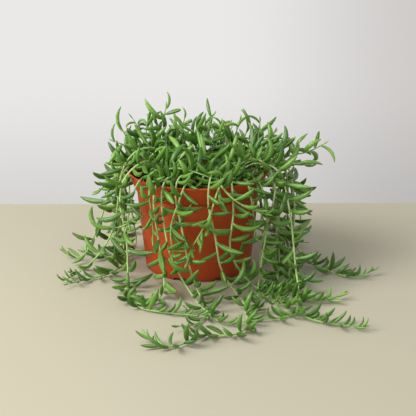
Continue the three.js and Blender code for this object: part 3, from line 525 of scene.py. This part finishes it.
def nearestParts(a0, a1, b0, b1):  # how far along each of two stretches their nearest points lie
    along, across, gap = a1 - a0, b1 - b0, a0 - b0
    a, e, f = (along**2).sum(1), (across**2).sum(1), (across * gap).sum(1)
    c, b = (along * gap).sum(1), (along * across).sum(1)
    flat = a * e - b * b
    s = np.where(flat > 1e-9, np.clip((b * f - c * e) / np.where(flat > 1e-9, flat, 1), 0, 1), 0.5)
    t = np.clip((b * s + f) / e, 0, 1)
    return np.clip((b * t - c) / a, 0, 1), t


def nearestWall(points):  # distance to the pot wall's middle line, and the way out from it
    radius = np.hypot(points[:, 0], points[:, 1])
    spot = np.stack([radius, points[:, 2]], 1)
    best = np.full(len(points), np.inf)
    out = np.zeros((len(points), 2))
    for low, high in zip(wallLine, wallLine[1:]):
        part = np.clip((spot - low) @ (high - low) / ((high - low) ** 2).sum(), 0, 1)
        away = spot - (low + part[:, None] * (high - low))
        distance = np.hypot(away[:, 0], away[:, 1])
        nearer = distance < best
        best[nearer], out[nearer] = distance[nearer], away[nearer]
    return best, out, radius


# Moves stems apart, off the pot's wall and up to the surface, a little at a time.
def settleStems(stems):
    counts = [len(stem["points"]) for stem in stems]
    starts = np.concatenate([[0], np.cumsum(counts)[:-1]])
    points = np.vstack([stem["points"] for stem in stems])
    owner = np.repeat(np.arange(len(stems)), counts)
    index = np.concatenate([np.arange(count) for count in counts])
    parent = np.array([-1 if stem["parent"] is None else stem["parent"] for stem in stems])
    free = index >= np.array([stem["pinned"] for stem in stems])[owner]
    inner = free & (index + 1 < np.array(counts)[owner])
    first = np.nonzero(owner[:-1] == owner[1:])[0]
    for turn in range(growth["rounds"]):
        if turn % growth["pairEvery"] == 0:
            middle = (points[first] + points[first + 1]) / 2
            size = (middle**2).sum(1)
            close = size[:, None] + size[None, :] - 2 * middle @ middle.T < growth["pairReach"] ** 2
            one, two = np.nonzero(np.triu(close, 1))
            one, two = first[one], first[two]
            same = owner[one] == owner[two]
            joined = (parent[owner[two]] == owner[one]) & (index[two] < 3)
            kept = ~(same & (index[two] <= index[one] + 3)) & ~joined
            one, two = one[kept], two[kept]
        s, t = nearestParts(points[one], points[one + 1], points[two], points[two + 1])
        gap = (points[one] * (1 - s)[:, None] + points[one + 1] * s[:, None]
               - points[two] * (1 - t)[:, None] - points[two + 1] * t[:, None])
        distance = np.linalg.norm(gap, axis=1)
        hit = (distance < growth["stemClearance"]) & (distance >= 1e-6)
        push = gap[hit] * ((growth["stemClearance"] - distance[hit]) / distance[hit] / 2)[:, None]
        pushes = np.zeros_like(points)
        for place, share in ((one, 1 - s), (one + 1, s), (two, t - 1), (two + 1, -t)):
            np.add.at(pushes, place[hit], push * share[hit][:, None])
        length = np.linalg.norm(pushes, axis=1)
        pushes /= np.maximum(length, 1)[:, None]
        before = points.copy()
        points[free] += pushes[free]
        spots = np.nonzero(inner)[0]
        points[spots] += ((before[spots - 1] + before[spots + 1]) / 2 - before[spots]) * growth["stiffness"]
        wall, away, radius = nearestWall(points)
        tight = free & (wall < growth["wallClearance"])
        out = growth["wallClearance"] / wall[tight] - 1
        points[tight, :2] *= (1 + away[tight, 0] * out / radius[tight])[:, None]
        points[tight, 2] += away[tight, 1] * out
        points[free, 2] = np.maximum(points[free, 2], growth["restHeight"])
        for number in np.nonzero(parent >= 0)[0]:
            host = points[starts[parent[number]]:starts[parent[number]] + counts[parent[number]]]
            start = points[starts[number]]
            points[starts[number]] = host[np.argmin(np.linalg.norm(host - start, axis=1))]
    for stem, start, count in zip(stems, starts, counts):
        stem["points"] = points[start:start + count]


# ---- leaves: the same growth rule as the frame's ----


def soilHeightAt(points):
    part = np.hypot(points[:, 0], points[:, 1]) / growth["wallTopRadius"]
    return ground + growth["soilCrown"] * (1 - part * part)


def pointsOnLeaf(leaf, parts):
    angle = (leaf["bend"] * parts)[:, None]
    reach = leaf["length"] / leaf["bend"]
    return leaf["base"] + reach * (np.sin(angle) * leaf["heading"] + (1 - np.cos(angle)) * leaf["lift"])


def fullness(parts):  # a thin stalk, a full middle and a pointed tip
    swell = np.maximum(np.sin(np.pi * parts**0.92), 0) ** 0.8
    return np.minimum(1, 0.14 + 0.93 * swell)


leafParts = np.arange(1, growth["samples"] + 1) / growth["samples"]


class Crowd:  # everything a new leaf has to miss
    def __init__(self, stems):
        self.low = np.vstack([stem["points"][:-1] for stem in stems])
        self.high = np.vstack([stem["points"][1:] for stem in stems])
        self.stem = np.repeat(np.arange(len(stems)), [len(stem["points"]) - 1 for stem in stems])
        self.index = np.concatenate([np.arange(len(stem["points"]) - 1) for stem in stems])
        self.balls = np.zeros((40000, 4))
        self.count = 0

    def add(self, points, radii):
        self.balls[self.count:self.count + len(points), :3] = points
        self.balls[self.count:self.count + len(points), 3] = radii
        self.count += len(points)

    def around(self, base):
        reach = growth["leafLength"] * 1.3 + 8
        lines = np.nonzero((np.abs(self.low - base) < reach).all(1))[0]
        balls = self.balls[:self.count]
        return lines, balls[(np.abs(balls[:, :3] - base) < reach).all(1)]


def leafFits(leaf, crowd, around, owner, index):
    points = pointsOnLeaf(leaf, leafParts)
    thickness = leaf["radius"] * fullness(leafParts)
    gap = growth["gap"]
    radius = np.hypot(points[:, 0], points[:, 1])
    if (points[:, 2] < thickness + gap).any():
        return False
    if ((radius < growth["rimRadius"]) & (points[:, 2] < soilHeightAt(points) + thickness + gap)).any():
        return False
    if (nearestWall(points)[0] < thickness + growth["wallHalf"] + gap).any():
        return False
    within = points[:, 2] < growth["potHeight"]
    inside = radius < growth["insideRadius"]
    if (within[1:] & within[:-1] & (inside[1:] != inside[:-1])).any():
        return False
    lines, balls = around
    low, along = crowd.low[lines], crowd.high[lines] - crowd.low[lines]
    offset = points[:, None] - low[None]
    part = np.clip((offset * along).sum(2) / (along**2).sum(1), 0, 1)
    distance = np.linalg.norm(offset - part[..., None] * along, axis=2)
    own = (crowd.stem[lines] == owner) & (np.abs(crowd.index[lines] - index) <= 2)
    blocked = distance < (thickness + growth["stemRadius"] + gap)[:, None]
    if (blocked & ~(own[None] & (leafParts < 0.4)[:, None])).any():
        return False
    later = leafParts > 0.2
    distance = np.linalg.norm(points[later][:, None] - balls[None, :, :3], axis=2)
    return not (distance < thickness[later][:, None] + balls[None, :, 3] + gap).any()


def leafHeading(along, turn, slant, rise):
    side = np.cross((0, 0, 1), along)
    if np.linalg.norm(side) < 0.2:
        side = np.cross((1, 0, 0), along)
    side /= np.linalg.norm(side)
    out = side * math.cos(turn) + np.cross(along, side) * math.sin(turn)
    heading = along * math.cos(slant) + out * (1, 1, rise) * math.sin(slant)
    return heading / np.linalg.norm(heading)


def growLeaves(stems):
    crowd = Crowd(stems)
    leaves = []
    step = growth["step"]
    for owner, stem in enumerate(stems):
        draw = randomNumbers(7001 + owner * 131)
        points = stem["points"]
        whole = (len(points) - 1) * step
        distance = growth["firstLeaf"] + (growth["plantedDepth"] if stem["parent"] is None else 0)
        turn = next(draw) * 2 * math.pi
        while distance <= whole:
            toTip = whole - distance
            index = min(int(distance / step), len(points) - 2)
            base = points[index] + (points[index + 1] - points[index]) * (distance / step - index)
            along = points[index + 1] - points[index]
            along = along / np.linalg.norm(along)
            upright = stem["vine"].startswith("shoot")
            grown = min(1, toTip / growth["uprightTipRun" if upright else "tipRun"])
            low = base[2] < growth["lowHeight"]
            hanging = not low and along[2] < growth["steepFall"]
            young = growth["uprightYoung" if upright else "youngLength"]
            size = young + (growth["leafLength"] - young) * grown**0.8
            size = (0.72 + 0.45 * next(draw)) * size / growth["leafLength"]
            size *= growth["lowSize"] if low else growth["uprightSize"] if upright else 1
            slant = 0.55 + (0.8 if upright else 0.5) * grown + 0.7 * (next(draw) - 0.5)
            bend = 0.4 + 1.3 * next(draw) + (1.0 if next(draw) < 0.12 else 0)
            turn += growth["goldenTurn"] + 1.2 * (next(draw) - 0.5)
            swing = 1.6 if hanging else 3.2
            sway = np.array([next(draw) - 0.5, next(draw) - 0.5, next(draw) - 0.5])
            sway *= (swing, swing, 3.6 if upright else 0.6)
            sway[2] -= 0.6 if upright else 0
            around = crowd.around(base)
            for attempt in range(growth["leafTries"]):
                heading = leafHeading(along, turn + attempt * growth["tryTurn"], slant, 0.5 if low else 1)
                upward = np.array([0, 0, 1]) + sway
                lift = upward - heading * (heading @ upward)
                lift /= np.linalg.norm(lift)
                shrink = 1 - growth["tryShrink"] * attempt
                leaf = {
                    "owner": owner, "base": base, "heading": heading, "lift": lift, "bend": bend,
                    "grown": grown, "length": growth["leafLength"] * size * shrink,
                    "radius": growth["leafRadius"] * size**0.85 * shrink * (0.7 + 0.3 * grown),
                    "at": distance,
                }
                if low and heading[2] < -0.1:
                    continue
                if not leafFits(leaf, crowd, around, owner, index):
                    continue
                leaves.append(leaf)
                crowd.add(pointsOnLeaf(leaf, leafParts), leaf["radius"] * fullness(leafParts))
                break
            spacing = growth["hangingSpacing" if hanging else "lowSpacing" if low else "spacing"]
            spacing = growth["tipSpacing"] + (spacing - growth["tipSpacing"]) * grown
            distance += spacing * (0.6 + 0.8 * next(draw))
    return leaves


stems = growStems()
settleStems(stems)
print("stems settled:", len(stems))
leaves = growLeaves(stems)
print("leaves grown:", len(leaves))

# ---- vines and shoots ----

stemSettings = {
    "sides": 8, "base": 1.0, "tip": 0.5, "tipRun": 60, "nodeSwell": 1.22, "nodeReach": 2.5, "ageRun": 220,
}
leafSettings = {
    "sides": 8, "rings": (0.0, 0.07, 0.2, 0.4, 0.62, 0.82, 0.95, 1.0), "flat": 0.86,
    "bends": 14, "leastBend": 0.4, "mostBend": 2.9, "ratios": (0.08, 0.095, 0.11),
    "point": 0.1, "budLength": 8.0, "budRadius": 1.0,
    # Painted light and shade: leaves on the upright shoots on top get a lighter tone, leaves on the hanging
    # vines a darker one.
    "shootTone": 0.42, "shadedVineTone": 0.30, "budTone": 0.8, "toneSpread": 0.6, "youngTone": 0.16,
    "dryShare": 0.035,
}


# One stem as a tube, thicker towards the soil, with a slight swelling where each leaf leaves it.
def growStem(bm, stem, owner):
    points = stem["points"] * mm
    step = growth["step"]
    whole = (len(points) - 1) * step
    nodes = np.array([leaf["at"] for leaf in leaves if leaf["owner"] == owner] or [-50.0])
    tangents = np.gradient(points, axis=0)
    across = sideways(Vector(tangents[0]))
    rings, swells, ages = [], [], []
    for number, (point, tangent) in enumerate(zip(points, tangents)):
        along = Vector(tangent).normalized()
        across = (across - along * across.dot(along)).normalized()
        toTip = whole - number * step
        share = min(1, toTip / stemSettings["tipRun"])
        swell = max(0, 1 - np.abs(nodes - number * step).min() / stemSettings["nodeReach"])
        radius = stemSettings["tip"] + (stemSettings["base"] - stemSettings["tip"]) * share
        radius *= (1 + (stemSettings["nodeSwell"] - 1) * swell) * growth["stemRadius"] * mm
        rings.append((Vector(point), along, across, radius, radius))
        swells.append(swell)
        ages.append(min(1, toTip / stemSettings["ageRun"]))
    values = {"age": lambda ring, angle: ages[ring], "node": lambda ring, angle: swells[ring]}
    sweep(bm, rings, stemSettings["sides"], values)


# A leaf one unit long along +X that curls up towards +Z. ratio is its thickness by its length.
def leafTemplate(bend, ratio):
    bm = bmesh.new()
    parts = leafSettings["rings"]
    rings = []
    for part, width in zip(parts, fullness(np.array(parts))):
        angle = bend * part
        centre = Vector((math.sin(angle), 0, 1 - math.cos(angle))) / bend
        along = Vector((math.cos(angle), 0, math.sin(angle)))
        width = ratio * (width if 0 < part < 1 else leafSettings["point"])
        rings.append((centre, along, Vector((0, 1, 0)), width, width * leafSettings["flat"]))
    values = {
        "along": lambda ring, angle: parts[ring],
        "inner": lambda ring, angle: max(0.0, math.sin(angle)),
        "tone": lambda ring, angle: 0.0,
        "dry": lambda ring, angle: 0.0,
    }
    sweep(bm, rings, leafSettings["sides"], values)
    bmesh.ops.recalc_face_normals(bm, faces=bm.faces)
    mesh = bpy.data.meshes.new("leafTemplate")
    bm.to_mesh(mesh)
    bm.free()
    return mesh


def leafTemplates():
    spread = np.linspace(leafSettings["leastBend"], leafSettings["mostBend"], leafSettings["bends"])
    return {(bend, ratio): leafTemplate(bend, ratio) for bend in spread for ratio in leafSettings["ratios"]}


def addLeaf(bm, templates, leaf, tone, dry=0.0):
    ratio = leaf["radius"] / leaf["length"]
    nearest = min(templates, key=lambda kind: abs(kind[0] - leaf["bend"]) + 20 * abs(kind[1] - ratio))
    before = len(bm.verts)
    bm.from_mesh(templates[nearest])
    bm.verts.ensure_lookup_table()
    verts = bm.verts[before:]
    heading, lift = Vector(leaf["heading"]), Vector(leaf["lift"])
    length = leaf["length"] * mm
    width = leaf["radius"] / nearest[1] * mm
    place = Matrix((heading * length, lift.cross(heading) * width, lift * length)).transposed().to_4x4()
    place.translation = Vector(leaf["base"]) * mm
    bmesh.ops.transform(bm, matrix=place, verts=verts)
    tones, dryness = bm.verts.layers.float["tone"], bm.verts.layers.float["dry"]
    for vert in verts:
        vert[tones] = tone
        vert[dryness] = dry


# The small leaf that stands at the end of a growing tip.
def tipLeaf(stem):
    points = stem["points"]
    heading = (points[-1] - points[-2]) / np.linalg.norm(points[-1] - points[-2])
    lift = np.array([0.2, 0, 1]) - heading * heading @ np.array([0.2, 0, 1])
    lift /= np.linalg.norm(lift)
    return {
        "base": points[-1], "heading": heading, "lift": lift, "bend": leafSettings["leastBend"],
        "length": leafSettings["budLength"], "radius": leafSettings["budRadius"],
    }


def makeVines():
    templates = leafTemplates()
    draw = randomNumbers(90210)
    for vine in dict.fromkeys(stem["vine"] for stem in stems):
        owners = [number for number, stem in enumerate(stems) if stem["vine"] == vine]
        bm = bmesh.new()
        for owner in owners:
            growStem(bm, stems[owner], owner)
        bmesh.ops.recalc_face_normals(bm, faces=bm.faces)
        keep(bm, f"{vine}_stem", "stem", vine, "foliage")
        bm = bmesh.new()
        for name in ("along", "inner", "tone", "dry"):
            bm.verts.layers.float.new(name)
        # Painted light and shade: a lighter base tone for the shoots on top, a darker one for the vines that
        # hang lower.
        shade = leafSettings["shootTone" if vine.startswith("shoot") else "shadedVineTone"]
        for leaf in leaves:
            if leaf["owner"] in owners:
                tone = shade + leafSettings["toneSpread"] * (next(draw) - 0.5)
                tone += leafSettings["youngTone"] * (1 - leaf["grown"])
                dry = 1.0 if next(draw) < leafSettings["dryShare"] else 0.0
                addLeaf(bm, templates, leaf, tone, dry)
        for owner in owners:
            addLeaf(bm, templates, tipLeaf(stems[owner]), leafSettings["budTone"])
        keep(bm, f"{vine}_leaves", "leaf", vine, "foliage")


makeVines()
print("vines made")

# ---- red rootlets that hang in the air from one low vine ----

rootSettings = {
    "vine": "vine_left_7", "count": 9, "thickness": 0.00022, "length": 0.013, "joints": 5, "sides": 5,
    "stray": 0.7,
}


def growRootlets(roots):
    draw = randomNumbers(77)
    points = next(stem["points"] for stem in stems if stem["vine"] == roots["vine"])
    bm = bmesh.new()
    for number in range(roots["count"]):
        point = Vector(points[-2 - number // 3]) * mm
        heading = Vector((next(draw) * 1.6 - 0.5, next(draw) - 0.9, -0.5 - next(draw))).normalized()
        step = roots["length"] * (0.5 + next(draw)) / roots["joints"]
        rings = []
        for joint in range(roots["joints"]):
            thickness = roots["thickness"] * (1 - 0.7 * joint / roots["joints"])
            rings.append((point.copy(), heading.copy(), sideways(heading), thickness, thickness))
            point += heading * step
            stray = Vector((next(draw) - 0.5, next(draw) - 0.5, next(draw) - 0.5))
            heading = (heading + stray * roots["stray"]).normalized()
        sweep(bm, rings, roots["sides"], {})
    bmesh.ops.recalc_face_normals(bm, faces=bm.faces)
    keep(bm, "rootlets", "root", None, "foliage")


growRootlets(rootSettings)
print("rootlets made")

# ---- pot ----

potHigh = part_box("pot")[1]
potSettings = {
    "top": potHigh.z, "rim": potHigh.x, "base": 0.060, "footRound": 0.003,
    "collarFoot": 0.0706, "collarHeight": 0.0926, "wallTop": 0.069, "ledge": 0.0005,
    "wall": 0.0014, "floor": 0.0016, "lip": 0.0010, "steps": 128,
    "notches": 8, "notchWidth": 0.009, "notchHeight": 0.0036, "notchDepth": 0.006,
}


def arc(centre, radius, start, stop, count):
    angles = [math.radians(angle) for angle in np.linspace(start, stop, count)]
    return [(centre[0] + radius * math.cos(angle), centre[1] + radius * math.sin(angle)) for angle in angles]


def potProfile(pot):
    base, foot, lip = pot["base"], pot["footRound"], pot["lip"]
    outside = [(0, 0), (base * 0.5, 0), *arc((base - foot, foot), foot, -90, 0, 6)]
    for share in (0.25, 0.5, 0.75, 0.97):
        outside.append((base + (pot["wallTop"] - base) * share, foot + (pot["collarHeight"] - foot) * share))
    outside += [(pot["wallTop"], pot["collarHeight"] - pot["ledge"] * 1.5),
                (pot["collarFoot"] - pot["ledge"], pot["collarHeight"] - pot["ledge"] * 0.4),
                (pot["collarFoot"], pot["collarHeight"] + pot["ledge"] * 0.4)]
    for share in (0.1, 0.5, 0.88):
        outside.append((pot["collarFoot"] + (pot["rim"] - pot["collarFoot"] - lip * 0.3) * share,
                        pot["collarHeight"] + (pot["top"] - pot["collarHeight"] - lip) * share))
    rolled = arc((pot["rim"] - lip, pot["top"] - lip), lip, -20, 190, 8)
    wall = pot["wall"]
    inside = [(pot["rim"] - wall * 1.9, pot["top"] - 0.004),
              (pot["collarFoot"] - wall + 0.0004, pot["collarHeight"] + 0.0016),
              (pot["wallTop"] - wall, pot["collarHeight"] - 0.001), (base - wall, foot + pot["floor"]),
              (base - foot, pot["floor"]), (0, pot["floor"])]
    return outside + rolled + inside


def spunShape(profile, steps):
    bm = bmesh.new()
    verts = [bm.verts.new((radius, 0, height)) for radius, height in profile]
    edges = [bm.edges.new(pair) for pair in zip(verts, verts[1:])]
    bmesh.ops.spin(bm, geom=verts + edges, cent=(0, 0, 0), axis=(0, 0, 1), dvec=(0, 0, 0),
                   angle=2 * math.pi, steps=steps, use_merge=True, use_duplicate=False)
    bmesh.ops.remove_doubles(bm, verts=bm.verts, dist=1e-6)
    bmesh.ops.recalc_face_normals(bm, faces=bm.faces)
    return bm


def notchCutter(pot):
    bm = bmesh.new()
    for number in range(pot["notches"]):
        turn = Matrix.Rotation((number + 0.5) * 2 * math.pi / pot["notches"], 4, "Z")
        out = Matrix.Translation((pot["base"] - pot["notchDepth"] / 2 + 0.001, 0, 0))
        size = Matrix.Diagonal((pot["notchDepth"], pot["notchWidth"], pot["notchHeight"] * 2, 1))
        bmesh.ops.create_cube(bm, size=1, matrix=turn @ out @ size)
    bmesh.ops.bevel(bm, geom=bm.edges, offset=0.0009, offset_type="OFFSET", affect="EDGES", segments=2,
                    profile=0.5, material=-1)
    return bm


def sharpen(mesh, degrees):  # edges that turn more than this catch the light as edges
    bm = bmesh.new()
    bm.from_mesh(mesh)
    for edge in bm.edges:
        edge.smooth = edge.calc_face_angle(0) < math.radians(degrees)
    bm.to_mesh(mesh)
    bm.free()


def makePot(pot):
    piece = keep(spunShape(potProfile(pot), pot["steps"]), "nurseryPot", "pot", "pot", "pot_plastic")
    cutter = keep(notchCutter(pot), "notchCutter", "pot")
    cut = piece.modifiers.new("notches", "BOOLEAN")
    cut.object = cutter
    cut.solver = "EXACT"
    depsgraph = bpy.context.evaluated_depsgraph_get()
    cutMesh = bpy.data.meshes.new_from_object(piece.evaluated_get(depsgraph))
    piece.modifiers.clear()
    piece.data = cutMesh
    sharpen(cutMesh, 35)
    bpy.data.objects.remove(cutter)


makePot(potSettings)
print("pot made")

# ---- soil ----

soilSettings = {
    "height": 0.101, "crown": 0.0015, "edge": 0.0715, "bottom": 0.090, "rings": 34, "steps": 120,
    "lumps": 0.0016, "crumbs": 620, "perlite": 46, "crumbSize": 0.0016, "perliteSize": 0.0017,
}


def soilTopAt(x, y):
    part = math.hypot(x, y) / soilSettings["edge"]
    lump = noise.noise(Vector((x, y, 0)) * 140) + 0.5 * noise.noise(Vector((x, y, 0.3)) * 420)
    crown = soilSettings["crown"] * (1 - part * part)
    return soilSettings["height"] + crown + soilSettings["lumps"] * (lump - 0.3)


def makeSoil():
    edge, bottom = soilSettings["edge"], soilSettings["bottom"]
    across = np.linspace(0, edge, soilSettings["rings"])
    top = [(radius, soilSettings["height"]) for radius in across[::-1]]
    bm = spunShape([(0, bottom), (edge * 0.93, bottom), *top], soilSettings["steps"])
    for vert in bm.verts:
        if vert.co.z > bottom + 0.001:
            vert.co.z = soilTopAt(vert.co.x, vert.co.y)
    keep(bm, "soilMound", "soil", "soil", "potting_soil")


def scatterGrains(name, skin, count, size, seed):
    draw = randomNumbers(seed)
    noise.seed_set(seed)
    bm = bmesh.new()
    for _ in range(count):
        radius = soilSettings["edge"] * 0.97 * math.sqrt(next(draw))
        angle = 2 * math.pi * next(draw)
        x, y = radius * math.cos(angle), radius * math.sin(angle)
        grain = size * (0.5 + next(draw))
        place = Matrix.Translation((x, y, soilTopAt(x, y) + grain * 0.2))
        turn = Matrix.Rotation(6 * next(draw), 4, (next(draw), next(draw), 1))
        shape = Matrix.Diagonal((1, 0.6 + 0.4 * next(draw), 0.5 + 0.4 * next(draw), 1))
        made = bmesh.ops.create_icosphere(bm, subdivisions=1, radius=grain, matrix=place @ turn @ shape)
        for vert in made["verts"]:
            vert.co += noise.noise_vector(vert.co * 900) * grain * 0.25
    keep(bm, name, skin, None, "potting_soil", smooth=False)


makeSoil()
scatterGrains("soilCrumbs", "soil", soilSettings["crumbs"], soilSettings["crumbSize"], 31)
scatterGrains("perliteGrains", "perlite", soilSettings["perlite"], soilSettings["perliteSize"], 57)
print("soil made")

# ---- stage: a pale table top and soft light ----

stageSettings = {
    "left": -1.6, "right": 1.6, "front": -1.7, "back": 0.225, "skew": 0.012, "thick": 0.03,
    "wall": (0.83, 0.815, 0.80), "wallFoot": (0.64, 0.63, 0.615), "shade": (0.74, 0.73, 0.73),
    "above": (0.57, 0.575, 0.58),
    "footSpan": (-0.34, -0.19), "shadeSpan": (0.0, 0.2), "aboveSpan": (0.1, 0.5),
}


def makeTable(table):
    bm = bmesh.new()
    bmesh.ops.create_cube(bm, size=1)
    for vert in bm.verts:
        x = table["left"] if vert.co.x < 0 else table["right"]
        y = table["front"] if vert.co.y < 0 else table["back"] + table["skew"] * x
        vert.co = (x, y, 0 if vert.co.z > 0 else -table["thick"])
    bmesh.ops.bevel(bm, geom=bm.edges, offset=0.002, offset_type="OFFSET", affect="EDGES", segments=2,
                    profile=0.5, material=-1)
    keep(bm, "tableTop", "table", smooth=False)


def addLamp(name, place, size, power, colour):
    lamp = bpy.data.lights.new(name, "AREA")
    lamp.size = size
    lamp.energy = power
    lamp.color = colour
    holder = bpy.data.objects.new(name, lamp)
    holder.location = place
    holder.rotation_euler = (Vector((0, 0, 0.05)) - Vector(place)).to_track_quat("-Z", "Y").to_euler()
    bpy.context.collection.objects.link(holder)


def makeSky(sky):  # a light wall around the table, dimmer near its foot and to the right, and a dim ceiling
    shader = Shader("sky", isWorld=True)
    ray = shader.node("ShaderNodeTexCoord", {}, {}, "Generated")
    height = shader.node("ShaderNodeSeparateXYZ", {}, {0: ray}, "Z")
    right = shader.node("ShaderNodeSeparateXYZ", {}, {0: ray}, "X")
    wall = shader.mix(shader.between(height, *sky["footSpan"]), sky["wallFoot"], sky["wall"])
    shade = shader.mix(shader.between(right, *sky["shadeSpan"]), (1, 1, 1), sky["shade"])
    lit = shader.mix(1.0, wall, shade, "MULTIPLY")
    shader.feed("Color", shader.mix(shader.between(height, *sky["aboveSpan"]), lit, sky["above"]))
    bpy.context.scene.world = shader.material


makeTable(stageSettings)
makeSky(stageSettings)
addLamp("keyLamp", (-1.4, -0.75, 1.4), 1.2, 48, (1.0, 0.985, 0.95))
addLamp("fillLamp", (1.2, -1.6, 0.9), 1.6, 3, (0.97, 0.98, 1.0))
bpy.context.scene.view_settings.view_transform = "Standard"
print("stage made")
